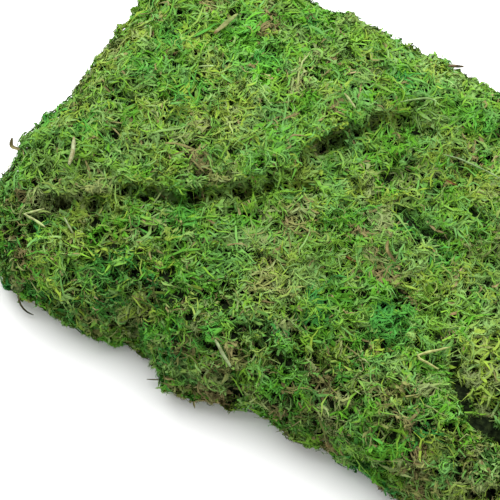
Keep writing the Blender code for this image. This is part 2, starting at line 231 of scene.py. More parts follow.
# Changes from strand to strand: their lengths, what they do to tone and light, and the limits
NEAR_LENGTH = 0.0045
SLOW_LENGTH = 0.018
NEAR_TONE = 0.04
NEAR_LIGHT = 0.13
SLOW_LIGHT = 0.16
STRAND_TONE_SPREAD = 0.012
LIVE_TONES = (0.36, 0.96)
PALETTE_ENDS = (0.01, 0.99)

# Odd strands: share of all that is straw, share that is straw or tan, and their tones
STRAW_SHARE = 0.005
ODD_SHARE = 0.025
STRAW_TONES = (0.16, 0.26)
TAN_TONES = (0.35, 0.42)

# Looks of the clump's patches: lean along the palette, and light, partly the moss's own lightness
# and partly painted light and shade, such as the darker front shoulder
PATCH_LOOKS = {
    "vivid": (0.18, 0.45),
    "bluish": (0.28, 0.20),
    "deep": (0.17, -0.15),
    "dark": (-0.04, -0.22),
    "pale": (0.01, 0.28),
    "yellowish": (-0.14, 0.35),
    "olive": (-0.20, 0.10),
    "brown": (-0.27, -0.20),
}

# How much calmer chance is in a patch
PATCH_CALM = 0.75

# Patches of each look, as seen in the photograph: x, y and reach in millimetres
PATCHES_MM = {
    "vivid": [(-76, 38, 14), (-92, 58, 9), (-14, 67, 9), (40, -3, 6), (6, -88, 9), (57, -91, 6)],
    "bluish": [(35, -43, 8), (-11, -78, 3), (-46, -93, 4)],
    "deep": [(-44, -61, 12), (-70, -75, 12), (16, -42, 8)],
    "dark": [(-102, -24, 9), (-117, 0, 10), (13, 50, 8), (-123, -49, 11), (31, 6, 7),
             (-15, -73, 10), (-35, -90, 5)],
    "pale": [(-38, 13, 9), (-41, 79, 9), (14, 85, 11), (-13, 15, 8), (16, -9, 8), (46, -68, 10),
             (37, -88, 9), (83, -72, 8), (55, -19, 10), (-15, -96, 4)],
    "yellowish": [(-72, 9, 7), (-8, 86, 10), (76, -35, 13), (-113, -89, 9), (2, -65, 5),
                  (-27, -85, 4), (-6, -79, 4)],
    "olive": [(-66, 27, 7), (-78, -5, 7), (-18, -48, 10), (68, -91, 9)],
    "brown": [(27, -77, 9)],
}

# Lie of the strands: along the lip on top, turning to run down the front shoulder
LIE_ANGLE = 0.80
LIE_TURN = -1.38
LIE_FRONT = -0.035
LIE_REACH = 0.035
LIE_WANDER = 1.1
LIE_WANDER_LENGTH = 0.020
LIE_LOOSE = 0.45
LIE_DOWN = -2

# Kinds of strand
KINDS = {
    # share is a kind's share of all strands, and nodes and columns are its ribbon's. leaf is its
    # leaflets' length, width and angle. curl and waver turn it, and together is how closely it
    # follows its tuft's lie. depth is how far it runs under the guide, root and end how much
    # lower its ends are, crown how much higher its middle is, and spread the variety of crown and
    # end. twist rolls it, and loose is how straight it runs on where the guide bends.
    "under": dict(share=0.38, nodes=4, columns=2, leaflets=0, length=0.0060, width=0.00175,
                  curl=0.40, waver=0.20, together=1.0, depth=(0.0010, 0.0025), crown=0.0002,
                  root=0.0005, end=0.0005, spread=0.0004, twist=0.8, loose=(0.0, 0.3)),
    "cord": dict(share=0.37, nodes=5, columns=2, leaflets=0, length=0.0068, width=0.00090,
                 curl=0.45, waver=0.26, together=1.4, depth=(0.0, 0.0015), crown=0.0003,
                 root=0.0011, end=0.0009, spread=0.0006, twist=0.8, loose=(0.0, 0.4)),
    "frond": dict(share=0.22, nodes=4, columns=2, leaflets=12, leaf=(0.0019, 0.00070, 0.62),
                  length=0.0060, width=0.00070, curl=0.45, waver=0.30, together=1.5,
                  depth=(0.0, 0.0014), crown=0.0003, root=0.0011, end=0.0002, spread=0.0005,
                  twist=0.6, loose=(0.0, 0.4)),
    "runner": dict(share=0.020, nodes=6, columns=2, leaflets=0, length=0.0130, width=0.00080,
                   curl=0.18, waver=0.18, together=0.8, depth=(0.0, 0.0006), crown=0.0005,
                   root=0.0012, end=0.0008, spread=0.0005, twist=0.6, loose=(0.2, 0.6)),
    "sprig": dict(share=0.010, nodes=5, columns=2, leaflets=6, leaf=(0.0011, 0.00060, 0.65),
                  length=0.0060, width=0.00080, curl=0.30, waver=0.25, together=0.4,
                  depth=(0.0, 0.0010), crown=0.0004, root=0.0010, end=-0.0016, spread=0.0010,
                  twist=0.8, loose=(0.3, 0.8)),
}

# Strands to a square metre, on the moss and on its base, least height, and most for one piece
DENSITY = 0.56e6
BASE_DENSITY = 0.07e6
FLOOR_GAP = 0.0002
PIECE_TRIANGLES = 190000

# Run of every strand: variety of its length and roll, and the steps that its curl is stated for
LENGTH_SPREAD = 0.35
LENGTH_LIMITS = (0.4, 2.2)
ROLL_SPREAD = 0.5
CURL_STEPS = 5

# Width of every strand along its run
ROOT_WIDTH = 0.45
BODY_WIDTH = 0.55
BODY_SHAPE = 0.8
TIP_TAPER = 0.6
TIP_SHAPE = 4
WIDTH_RAGGED = (0.75, 1.25)
WIDTH_SPREAD = 0.2

# Ribbon: how its normals round it, its ridge, painted shade on its edges, and its light along its
# run, darker to the root as older moss and painted shade
ROUNDING = 0.35
FACING = 0.9
RIDGE = 0.45
EDGE_SHADE = 0.76
RUN_LIGHT = (0.72, 0.28)
RUN_PHASE = (0.06, 0.70)
RUN_SHAPE = 0.7
UV_NAME = "OFBake"
UV_HALF = 0.0025

# Leaflets: places along the stem, size and angle along it, variety, and light: lighter towards the
# stem's tip, with painted shade at each leaflet's foot
LEAFLET_PLACES = (0.06, 0.999)
LEAFLET_LARGEST = 1.1
LEAFLET_SHRINK = 0.5
LEAFLET_SPREAD = 0.2
LEAFLET_LIFT = (0.05, 0.2)
LEAFLET_LENGTHS = (0.7, 1.2)
LEAFLET_LIGHT = (0.80, 0.20)
LEAFLET_FOOT_SHADE = 0.88

# Strands that hang over the lip
FRINGE = dict(nodes=6, columns=3, leaflets=0, length=0.0050, width=0.00105, curl=0.42,
              waver=0.30, depth=(0.0, 0.0014), crown=0.0003, root=0.0016, end=0.0004,
              spread=0.0008, twist=0.8, loose=(0.45, 0.9))
FRINGE_COUNT = 420
FRINGE_STEP = 0.0005
FRINGE_BACK = (-0.0005, 0.0045)
FRINGE_TURN = 0.65
FRINGE_OPENNESS = 0.25

# Single stems and hairs: route in millimetres, width in millimetres, palette place and light
STRAYS_MM = [
    ([(-115, -97, 20), (-117, -98, 14), (-116, -99, 8), (-113, -99, 4), (-110, -98, 3)], 0.9,
     0.34, 0.35),
    ([(-143, -48, 46), (-148, -50, 46), (-150, -49, 46), (-151, -46, 47)], 1.8, 0.28, 0.60),
    ([(-49, -100, 4), (-46, -99, 5), (-43, -98, 6), (-39, -97, 8)], 0.6, 0.30, 0.40),
    ([(13, -95, 8), (18, -96, 18), (22, -97, 27), (25, -95, 33)], 0.8, 0.24, 0.72),
    ([(-17, 51, 53), (-13, 48, 52), (-8, 44, 50), (-2, 40, 47)], 0.5, 0.64, 0.85),
    ([(18, -8, 46), (19, -12, 47), (21, -14, 47), (26, -16, 46)], 1.5, 0.20, 0.55),
    ([(6, -24, 46), (10, -25, 47), (14, -23, 46)], 1.2, 0.12, 0.60),
    ([(25, 33, 45), (28, 32, 46), (31, 33, 45)], 1.2, 0.12, 0.55),
    ([(-41, -34, 45), (-37, -35, 46), (-33, -37, 46), (-25, -39, 45)], 0.5, 0.58, 0.85),
]
STRAY = dict(nodes=9, columns=3, leaflets=0)
STRAY_SMOOTHING = 2
STRAY_TAPER = 0.6
STRAY_TAPER_SHAPE = 3

# Straws, stems, twig and leaf: how far each is lifted out of the strands, and how uneven it is
TRIM_LIFT = 0.0005
TRIM_UNEVEN = 0.00022
TRIM_UNEVEN_LENGTH = 0.0022
TRIM_SINK = 0.3
TRIM_WELD = 0.00001
TRIM_CUTS = 2

# Strands that pass within this reach over the trim are left out, apart from one in so many
TRIM_REACH = 0.004
TRIM_KEPT = 7

# Slot, light tone and dark tone of each straw, stem and twig
TRIM = {
    "broad_straw": ("straw", (0.33, 0.38, 0.20), (0.21, 0.19, 0.08)),
    "bent_straw": ("straw", (0.34, 0.42, 0.16), (0.20, 0.21, 0.075)),
    "short_straw": ("straw", (0.22, 0.29, 0.13), (0.14, 0.17, 0.065)),
    "front_straw": ("straw", (0.23, 0.30, 0.14), (0.14, 0.17, 0.065)),
    "lip_straw": ("straw", (0.30, 0.36, 0.14), (0.18, 0.17, 0.06)),
    "back_straw": ("straw", (0.33, 0.52, 0.19), (0.21, 0.29, 0.09)),
    "forked_straw": ("straw", (0.36, 0.41, 0.14), (0.24, 0.25, 0.075)),
    "curved_stem": ("stem", (0.20, 0.34, 0.10), (0.13, 0.21, 0.06)),
    "pale_fibre": ("stem", (0.20, 0.29, 0.13), (0.15, 0.22, 0.09)),
    "edge_twig": ("twig", (0.13, 0.09, 0.045), (0.05, 0.04, 0.02)),
}

# Dry leaf: its base in metres, its length, its turn in plan, its colours along it and its mottle
LEAF_BASE = (-0.0996, 0.0427, 0.055)
LEAF_LENGTH = 0.0172
LEAF_TURN = 1.40
# The dark olive stop past the middle is partly the leaf's own colour, partly painted shadow between
# its two parts
LEAF_COLOURS = [(0.06, (0.160, 0.075, 0.022)), (0.18, (0.225, 0.225, 0.080)),
                (0.45, (0.220, 0.235, 0.078)), (0.58, (0.120, 0.150, 0.032)),
                (0.70, (0.200, 0.260, 0.070)), (1.00, (0.220, 0.280, 0.073))]
LEAF_MOTTLE = [(0.35, (0.62, 0.62, 0.62)), (0.62, (1.0, 1.0, 1.0))]

# Tones of the mats' inside along its mottle, dark green-brown deepened as painted shade, and the
# ends of the trim's blotches
INSIDE_SHADE_TONES = [(0.3, (0.003, 0.005, 0.002)), (0.5, (0.007, 0.012, 0.004)),
                (0.7, (0.018, 0.027, 0.008))]
BLOTCH_ENDS = (0.38, 0.60)

# Grain of each finish: waves per metre of its colour and of its bump, and the bump's height
GRAIN_DETAIL = 3
STRAND_GRAIN = 1400
STRAND_BUMP = 0.0002
INSIDE_GRAIN = 500
INSIDE_BUMP = 0.001
BLOTCH_GRAIN = 420
LEAF_MOTTLE_GRAIN = 600
TRIM_GRAIN = 1500
TRIM_BUMP = 0.0003

# Roughness and specular level of each finish
STRAND_GLOSS = (0.70, 0.08)
INSIDE_GLOSS = (0.95, 0.05)
TRIM_GLOSS = (0.60, 0.25)
LEAF_GLOSS = (0.60, 0.20)
FLOOR_GLOSS = (0.9, 0.1)


def material(name):
    """New material, with its node tree and Principled shader."""
    made = bpy.data.materials.new(name)
    made.use_nodes = True
    tree = made.node_tree
    return made, tree, tree.nodes["Principled BSDF"]


def ramp_node(tree, stops):
    """Colour ramp of (place, colour) stops."""
    node = tree.nodes.new("ShaderNodeValToRGB")
    elements = node.color_ramp.elements
    elements.remove(elements[1])
    elements[0].position = stops[0][0]
    elements[0].color = (*stops[0][1], 1)
    for place, colour in stops[1:]:
        elements.new(place).color = (*colour, 1)
    return node


def grain_node(tree, scale):
    """Noise in the object's own space."""
    place = tree.nodes.new("ShaderNodeTexCoord")
    grain = tree.nodes.new("ShaderNodeTexNoise")
    grain.inputs["Scale"].default_value = scale
    grain.inputs["Detail"].default_value = GRAIN_DETAIL
    tree.links.new(place.outputs["Object"], grain.inputs["Vector"])
    return grain


def set_gloss(shader, gloss):
    """Roughness and specular level on the shader's own sockets."""
    shader.inputs["Roughness"].default_value = gloss[0]
    shader.inputs["Specular IOR Level"].default_value = gloss[1]


def multiply_node(tree, first, second):
    """Product of two colours."""
    mix = tree.nodes.new("ShaderNodeVectorMath")
    mix.operation = "MULTIPLY"
    tree.links.new(first, mix.inputs[0])
    tree.links.new(second, mix.inputs[1])
    return mix


def add_bump(tree, shader, grain, distance):
    """Fine bump from a grain."""
    bump = tree.nodes.new("ShaderNodeBump")
    bump.inputs["Distance"].default_value = distance
    tree.links.new(grain.outputs["Fac"], bump.inputs["Height"])
    tree.links.new(bump.outputs["Normal"], shader.inputs["Normal"])


def moss_material():
    """Moss strands: the UV map's two numbers give the palette's colour and its level of light,
    which holds painted light and shade.

    The levels go into their ramp divided by SHADE_SCALE, so that none is over 1, and come out
    times it.
    """
    made, tree, shader = material("moss_strands")
    where = tree.nodes.new("ShaderNodeUVMap")
    where.uv_map = UV_NAME
    parts = tree.nodes.new("ShaderNodeSeparateXYZ")
    tree.links.new(where.outputs["UV"], parts.inputs[0])
    tone = ramp_node(tree, PALETTE)
    tree.links.new(parts.outputs["X"], tone.inputs["Fac"])
    stops = [(place, [level / SHADE_SCALE for level in levels]) for place, levels in SHADE]
    shade = ramp_node(tree, stops)
    tree.links.new(parts.outputs["Y"], shade.inputs["Fac"])
    mix = multiply_node(tree, tone.outputs["Color"], shade.outputs["Color"])
    scaled = tree.nodes.new("ShaderNodeVectorMath")
    scaled.operation = "SCALE"
    scaled.inputs["Scale"].default_value = SHADE_SCALE
    tree.links.new(mix.outputs[0], scaled.inputs[0])
    tree.links.new(scaled.outputs[0], shader.inputs["Base Color"])
    add_bump(tree, shader, grain_node(tree, STRAND_GRAIN), STRAND_BUMP)
    set_gloss(shader, STRAND_GLOSS)
    return made


def inside_shade_material():
    """Inside of the mats: dark green-brown with a fine mottle, deepened as painted shade among the
    strands.
    """
    made, tree, shader = material("moss_inside_shade")
    mottle = grain_node(tree, INSIDE_GRAIN)
    add_bump(tree, shader, mottle, INSIDE_BUMP)
    tone = ramp_node(tree, INSIDE_SHADE_TONES)
    tree.links.new(mottle.outputs["Fac"], tone.inputs["Fac"])
    tree.links.new(tone.outputs["Color"], shader.inputs["Base Color"])
    set_gloss(shader, INSIDE_GLOSS)
    return made


def trim_material(name, light, dark):
    """Dry straw, stem or twig: blotches from a dark to a light tone, with a fine grain."""
    made, tree, shader = material(name)
    blotches = grain_node(tree, BLOTCH_GRAIN)
    tone = ramp_node(tree, list(zip(BLOTCH_ENDS, (dark, light))))
    tree.links.new(blotches.outputs["Fac"], tone.inputs["Fac"])
    tree.links.new(tone.outputs["Color"], shader.inputs["Base Color"])
    add_bump(tree, shader, grain_node(tree, TRIM_GRAIN), TRIM_BUMP)
    set_gloss(shader, TRIM_GLOSS)
    return made


def leaf_material():
    """Dry leaf: reddish brown at its base, then tan with a dark olive band that is partly painted
    shadow, finely mottled.
    """
    made, tree, shader = material("dry_leaf")
    place = tree.nodes.new("ShaderNodeTexCoord")
    fit = tree.nodes.new("ShaderNodeMapping")
    fit.vector_type = "TEXTURE"
    fit.inputs["Location"].default_value = LEAF_BASE
    fit.inputs["Rotation"].default_value = (0, 0, LEAF_TURN)
    fit.inputs["Scale"].default_value = (LEAF_LENGTH,) * 3
    along = tree.nodes.new("ShaderNodeTexGradient")
    tone = ramp_node(tree, LEAF_COLOURS)
    mottle = grain_node(tree, LEAF_MOTTLE_GRAIN)
    level = ramp_node(tree, LEAF_MOTTLE)
    tree.links.new(place.outputs["Object"], fit.inputs["Vector"])
    tree.links.new(fit.outputs["Vector"], along.inputs["Vector"])
    tree.links.new(along.outputs["Fac"], tone.inputs["Fac"])
    tree.links.new(mottle.outputs["Fac"], level.inputs["Fac"])
    mix = multiply_node(tree, tone.outputs["Color"], level.outputs["Color"])
    tree.links.new(mix.outputs[0], shader.inputs["Base Color"])
    add_bump(tree, shader, grain_node(tree, TRIM_GRAIN), TRIM_BUMP)
    set_gloss(shader, LEAF_GLOSS)
    return made


def floor_material():
    """Plain pale floor."""
    made, _, shader = material("pale_floor")
    shader.inputs["Base Color"].default_value = (*FLOOR_COLOUR, 1)
    set_gloss(shader, FLOOR_GLOSS)
    return made


def add_camera():
    """Camera at the photograph's place."""
    data = bpy.data.cameras.new("camera")
    data.lens = CAMERA_LENS
    camera = bpy.data.objects.new("camera", data)
    bpy.context.scene.collection.objects.link(camera)
    azimuth = math.radians(CAMERA_AZIMUTH)
    elevation = math.radians(CAMERA_ELEVATION)
    back = Vector((math.sin(azimuth) * math.cos(elevation),
                   -math.cos(azimuth) * math.cos(elevation),
                   math.sin(elevation)))
    camera.location = CAMERA_TARGET + back * CAMERA_DISTANCE
    camera.rotation_euler = back.to_track_quat("Z", "Y").to_euler()
    bpy.context.scene.camera = camera


def add_light():
    """Bright even sky, and one large soft light from above and behind."""
    world = bpy.data.worlds.new("studio")
    world.use_nodes = True
    sky = world.node_tree.nodes["Background"]
    sky.inputs["Color"].default_value = (1, 1, 1, 1)
    sky.inputs["Strength"].default_value = SKY_STRENGTH
    bpy.context.scene.world = world
    data = bpy.data.lights.new("key", "AREA")
    data.energy = KEY_POWER
    data.size = KEY_SIZE
    key = bpy.data.objects.new("key", data)
    key.location = KEY_PLACE
    key.rotation_euler = KEY_PLACE.to_track_quat("Z", "Y").to_euler()
    bpy.context.scene.collection.objects.link(key)
    bpy.context.scene.view_settings.view_transform = "Standard"


def add_floor():
    """Floor that the clump lies on."""
    bpy.ops.mesh.primitive_plane_add(size=FLOOR_SIZE)
    floor = bpy.context.object
    floor.name = "floor"
    floor.data.materials.append(floor_material())


def add_piece(name, mesh, looks, node):
    """Show a mesh as a piece of the object that stands for a node of the frame."""
    piece = bpy.data.objects.new(name, mesh)
    bpy.context.scene.collection.objects.link(piece)
    mesh.materials.clear()
    mesh.materials.append(looks)
    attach(piece, "root")
    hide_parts(node)


def numbers(items, name, width):
    """Values of a mesh's items as an array."""
    found = np.empty(len(items) * width)
    items.foreach_get(name, found)
    return found.reshape(-1, width)


def unit(vectors):
    """Vectors at length 1."""
    return vectors / np.maximum(np.linalg.norm(vectors, axis=-1, keepdims=True), TINY)


def remeshed(mesh, voxel, smoothing):
    """Copy of a mesh with even small faces."""
    item = bpy.data.objects.new("even", mesh)
    bpy.context.scene.collection.objects.link(item)
    even = item.modifiers.new("even", "REMESH")
    even.mode = "VOXEL"
    even.voxel_size = voxel
    soft = item.modifiers.new("soft", "SMOOTH")
    soft.iterations = smoothing
    bpy.context.view_layer.update()
    seen = item.evaluated_get(bpy.context.evaluated_depsgraph_get())
    made = bpy.data.meshes.new_from_object(seen)
    bpy.data.objects.remove(item)
    return made


def slow_noise(places, length, shift=0):
    """Smooth noise at each place, of a given length. Another shift gives another noise."""
    offset = UP * shift
    return np.array([noise.noise(Vector(place) / length + offset) for place in places.tolist()])


def bell(away):
    """Smooth falloff: 1 at 0, and near 0 past 2."""
    return np.exp(-away * away)


def openness(place):
    """How open the lip's gap is at a place in plan: 1 in an open place, 0 where it is closed."""
    found = 0
    for x, y, reach in OPEN_PLACES_MM:
        found = max(found, bell((place.xy / MM - Vector((x, y))).length / reach))
    return found


def lip_stations(spacing):
    """Points along the lip in plan, with the direction out in front of it."""
    found = []
    route = [Vector((x * MM, y * MM, 0)) for x, y in LIP_MM]
    for start, end in zip(route, route[1:]):
        run = end - start
        front = Vector((run.y, -run.x, 0)).normalized()
        count = max(1, round(run.length / spacing))
        found += [(start.lerp(end, index / count), front) for index in range(count)]
    return found


def height_at(tree, place):
    """Height of a surface at a place in plan, or None beside it."""
    hit = tree.ray_cast(Vector((place.x, place.y, ABOVE)), -UP)
    return hit[0].z if hit[0] else None


def joined_mats():
    """Mesh of both mats, slightly swollen, with the lip's gap filled where it is closed."""
    joined = bmesh.new()
    for name in MATS:
        joined.from_mesh(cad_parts[name].data)
    joined.normal_update()
    tree = BVHTree.FromBMesh(joined)
    for vertex in joined.verts:
        vertex.co += vertex.normal * GUIDE_SWELL
        vertex.co.z = max(vertex.co.z, 0)
    for point, front in lip_stations(FILLER_STEP):
        levels = [height_at(tree, point + front * reach) for reach in FILLER_REACHES]
        if None in levels or openness(point) > OPEN_LIMIT:
            continue
        middle = sum(levels) / 2 - FILLER_DROP
        centre = Vector((point.x, point.y, middle)) + front * FILLER_FORWARD
        bmesh.ops.create_icosphere(joined, subdivisions=FILLER_ROUNDNESS, radius=FILLER_RADIUS,
                                   matrix=Matrix.Translation(centre))
    mesh = bpy.data.meshes.new("joined")
    joined.to_mesh(mesh)
    joined.free()
    return mesh


def patches(places):
    """Lean along the palette, light, and share left to chance, from the named patches."""
    lean = np.zeros(len(places))
    light = np.zeros(len(places))
    cover = np.zeros(len(places))
    for look, (push, lighter) in PATCH_LOOKS.items():
        for x, y, reach in PATCHES_MM[look]:
            near = bell(np.hypot(places[:, 0] / MM - x, places[:, 1] / MM - y) / reach)
            lean += push * near
            light += lighter * near
            cover = np.maximum(cover, near)
    return lean, light, 1 - PATCH_CALM * cover * (2 - roughness_at(places[:, 1]))


class Tufts:
    """Small tufts that the surface is divided into, each with its own tone, height and lie."""

    def __init__(self, places, normals, rng):
        count = len(places)
        self.tree = KDTree(count)
        for index, place in enumerate(places):
            self.tree.insert(place, index)
        self.tree.balance()
        lean, light, chance = patches(places)
        rough = roughness_at(places[:, 1])
        self.tone = TONE_CENTRE + lean + rng.normal(0, TUFT_TONE_SPREAD, count) * rough * chance
        for shift, (length, height) in enumerate((SLOW_LEAN, NEAR_LEAN)):
            self.tone += height * slow_noise(places, length, shift) * chance
        dead = rng.random(count) < DEAD_SHARE * chance ** 2
        self.tone = np.where(dead, rng.uniform(*DEAD_TONES, count), self.tone)
        self.bright = light + rng.normal(0, TUFT_LIGHT_SPREAD, count) * rough
        self.height = rng.normal(0, TUFT_UNEVEN, count)
        angle = LIE_ANGLE + LIE_TURN * np.clip((LIE_FRONT - places[:, 1]) / LIE_REACH, 0, 1)
        angle += LIE_WANDER * slow_noise(places, LIE_WANDER_LENGTH, 2)
        angle += rng.normal(0, LIE_LOOSE, count)
        steep = 1 - np.abs(normals[:, 2])
        self.lie = unit(np.stack([np.cos(angle), np.sin(angle), LIE_DOWN * steep], 1))

    def nearest(self, places):
        """Index of the tuft nearest to each place."""
        return np.array([self.tree.find(place)[1] for place in places.tolist()])

    def rise(self, place):
        """How far the surface stands out at a place: domes, creases between, holes at corners."""
        first, second, third = self.tree.find_n(place, 3)
        crease = min((second[2] - first[2]) / TUFT_CREASE_WIDTH, 1)
        corner = max(1 - (third[2] - first[2]) / HOLE_WIDTH, 0)
        rough = roughness_at(place[1])
        chance = noise.noise(Vector(place) / HOLE_SPREAD)
        hole = HOLE_DEPTH * corner if chance > HOLE_LIMIT - HOLE_FRONT * (rough - 1) else 0
        slow = SWELL_HEIGHT * noise.noise(Vector(place) / SWELL_LENGTH)
        rounded = crease * (2 - crease) - DOME_MIDDLE
        dome = TUFT_CREASE * (1 + ROUGH_SHAPE * (rough - 1)) * rounded
        return slow + self.height[first[1]] * crease + dome - hole


def roughness_at(y):
    """How much more uneven the moss is at a place: 1 on top, 2 on the front shoulder."""
    return 1 + np.clip((ROUGH_FRONT - y) / ROUGH_REACH, 0, 1)


def slot_depth(places):
    """Depth of the dark slots at places, in metres."""
    depth = np.zeros(places.shape[:-1])
    for x, y, end_x, end_y, reach, down in SLOTS_MM:
        run = np.array([end_x - x, end_y - y], float)
        away = places[..., :2] / MM - np.array([x, y])
        along = np.clip(away @ run / (run @ run), 0, 1)
        near = bell(np.linalg.norm(away - along[..., None] * run, axis=-1) / reach)
        depth = np.maximum(depth, down * MM * near)
    return depth * (places[..., 2] > SLOT_FLOOR)


def marked_depth(place, marks):
    """Sum of the depths, or heights, of a list's marks at a place in plan."""
    depth = 0
    for x, y, reach, down in marks:
        depth += down * MM * bell(math.hypot(place[0] / MM - x, place[1] / MM - y) / reach)
    return depth


class Lip:
    """Torn lip of the upper mat, with dark pockets under it in its open places."""

    def __init__(self):
        self.stations = lip_stations(LIP_STEP)
        self.tree = KDTree(len(self.stations))
        for index, (point, _) in enumerate(self.stations):
            self.tree.insert(point, index)
        self.tree.balance()

    def shift(self, place):
        """How the surface moves at a place near the lip."""
        point, index, away = self.tree.find((place[0], place[1], 0))
        held = min(max((place[2] - LIP_FLOOR) / LIP_FADE, 0), 1)
        if away > LIP_REACH or not held:
            return Vector()
        front = self.stations[index][1]
        forward = (Vector(place) - point).dot(front)
        ragged = noise.noise(Vector(point) / LIP_RAGGED_LENGTH)
        opened = openness(point) * held * min(1 + LIP_RAGGED * ragged, 1)
        forward += LIP_WANDER * noise.noise(Vector(point) / LIP_RAGGED_LENGTH + UP)
        uneven = noise.noise(Vector(point) / POCKET_UNEVEN_LENGTH)
        half_width = POCKET_HALF_WIDTH * (1 + POCKET_UNEVEN * uneven)
        dip = bell((forward - POCKET_FORWARD) / half_width) * opened
        crest = bell((forward + CREST_BACK) / CREST_HALF_WIDTH) * opened
        rise = UP * (LIP_RAISE * crest - POCKET_DEPTH * dip)
        return rise + front * (LIP_OVERHANG * crest - POCKET_UNDERCUT * dip)


class Guide:
    """Even surface over both mats that strands follow."""

    def __init__(self, rng):
        self.mesh = remeshed(joined_mats(), GUIDE_VOXEL, GUIDE_SMOOTHING)
        self.measure()
        places, normals, _ = self.sample(int(self.area() / TUFT_SPACING ** 2), rng)
        self.tufts = Tufts(places, normals, rng)
        self.raise_tufts()
        self.measure()
        self.tree = BVHTree.FromPolygons(self.places.tolist(), self.corners.tolist())
        self.trim = trim_tree()

    def measure(self):
        """Read the mesh into arrays."""
        self.places = numbers(self.mesh.vertices, "co", 3)
        self.normals = numbers(self.mesh.vertices, "normal", 3)
        self.mesh.calc_loop_triangles()
        self.corners = numbers(self.mesh.loop_triangles, "vertices", 3).astype(int)

    def raise_tufts(self):
        """Raise rounded tufts on the surface, apart from its flat base, and sink its hollows."""
        lip = Lip()
        places = self.places.tolist()
        rises = np.array([self.tufts.rise(place) + marked_depth(place, BULGES_MM)
                          for place in places])
        rises -= [marked_depth(place, PITS_MM) if place[2] > LIP_FLOOR else 0 for place in places]
        slots = slot_depth(self.places)
        rises *= np.clip(self.places[:, 2] / FLAT_BASE - FLAT_SHARE, 0, 1)
        shifts = np.array([lip.shift(place) for place in places])
        self.sunk = np.maximum(-rises, 0)
        self.slot = np.clip(slots / SLOT_FULL, 0, 1)
        self.pocket = np.clip(-shifts[:, 2] / POCKET_DEPTH, 0, 1)
        places = self.places + self.normals * rises[:, None] + shifts
        places[:, 2] -= slots
        places[:, 2] = np.maximum(places[:, 2], 0)
        self.mesh.vertices.foreach_set("co", places.ravel())
        self.mesh.update()

    def triangles(self):
        """Area of each triangle."""
        first, second, third = (self.places[self.corners[:, k]] for k in range(3))
        return np.linalg.norm(np.cross(second - first, third - first), axis=1) / 2

    def area(self):
        """Whole surface, in square metres."""
        return self.triangles().sum()

    def sample(self, count, rng):
        """Random places on the surface, with their normals and a vertex near each."""
        areas = self.triangles()
        chosen = rng.choice(len(areas), count, p=areas / areas.sum())
        shares = rng.dirichlet((1, 1, 1), count)[:, :, None]
        corners = self.corners[chosen]
        places = (self.places[corners] * shares).sum(1)
        normals = unit((self.normals[corners] * shares).sum(1))
        return places, normals, corners[:, 0]

    def nearest(self, places):
        """Nearest surface points and the surface's normals there."""
        found = [self.tree.find_nearest(place) for place in places.tolist()]
        points = np.array([hit[0] for hit in found])
        normals = np.array([hit[1] for hit in found])
        return points, normals


def walk(guide, places, normals, heading, kind, rng):
    """Route of each strand over the surface, its sideways directions and its depth."""
    count = len(places)
    nodes = kind["nodes"]
    length = kind["length"] * np.clip(rng.lognormal(0, LENGTH_SPREAD, count), *LENGTH_LIMITS)
    step = (length / (nodes - 1))[:, None]
    turn = rng.normal(0, kind["curl"] * CURL_STEPS / (nodes - 1), count)
    depth = rng.uniform(*kind["depth"], count)
    crown = rng.normal(kind["crown"], kind["spread"] / 2, count)
    end = rng.normal(kind["end"], kind["spread"], count)
    roll = rng.normal(0, ROLL_SPREAD, count)
    loose = rng.uniform(*kind["loose"], count)[:, None]
    points = np.empty((count, nodes, 3))
    sides = np.empty((count, nodes, 3))
    place = places
    normal = normals
    for index in range(nodes):
        share = index / (nodes - 1)
        arch = crown * 4 * share * (1 - share)
        height = arch - depth - kind["root"] * (1 - share) ** 2 - end * share ** 2
        points[:, index] = place + normal * height[:, None]
        heading = unit(heading - normal * (heading * normal).sum(1, keepdims=True))
        side = np.cross(normal, heading)
        tilt = (roll + (share - 0.5) * kind["twist"] * np.sign(turn))[:, None]
        sides[:, index] = unit(side * np.cos(tilt) + normal * np.sin(tilt))
        turned = (turn + rng.normal(0, kind["waver"], count))[:, None]
        heading = heading * np.cos(turned) + side * np.sin(turned)
        ahead = place + heading * step
        place, normal = guide.nearest(ahead)
        place = place + (ahead - place) * loose
        normal = unit(normal)
    return points, sides, depth


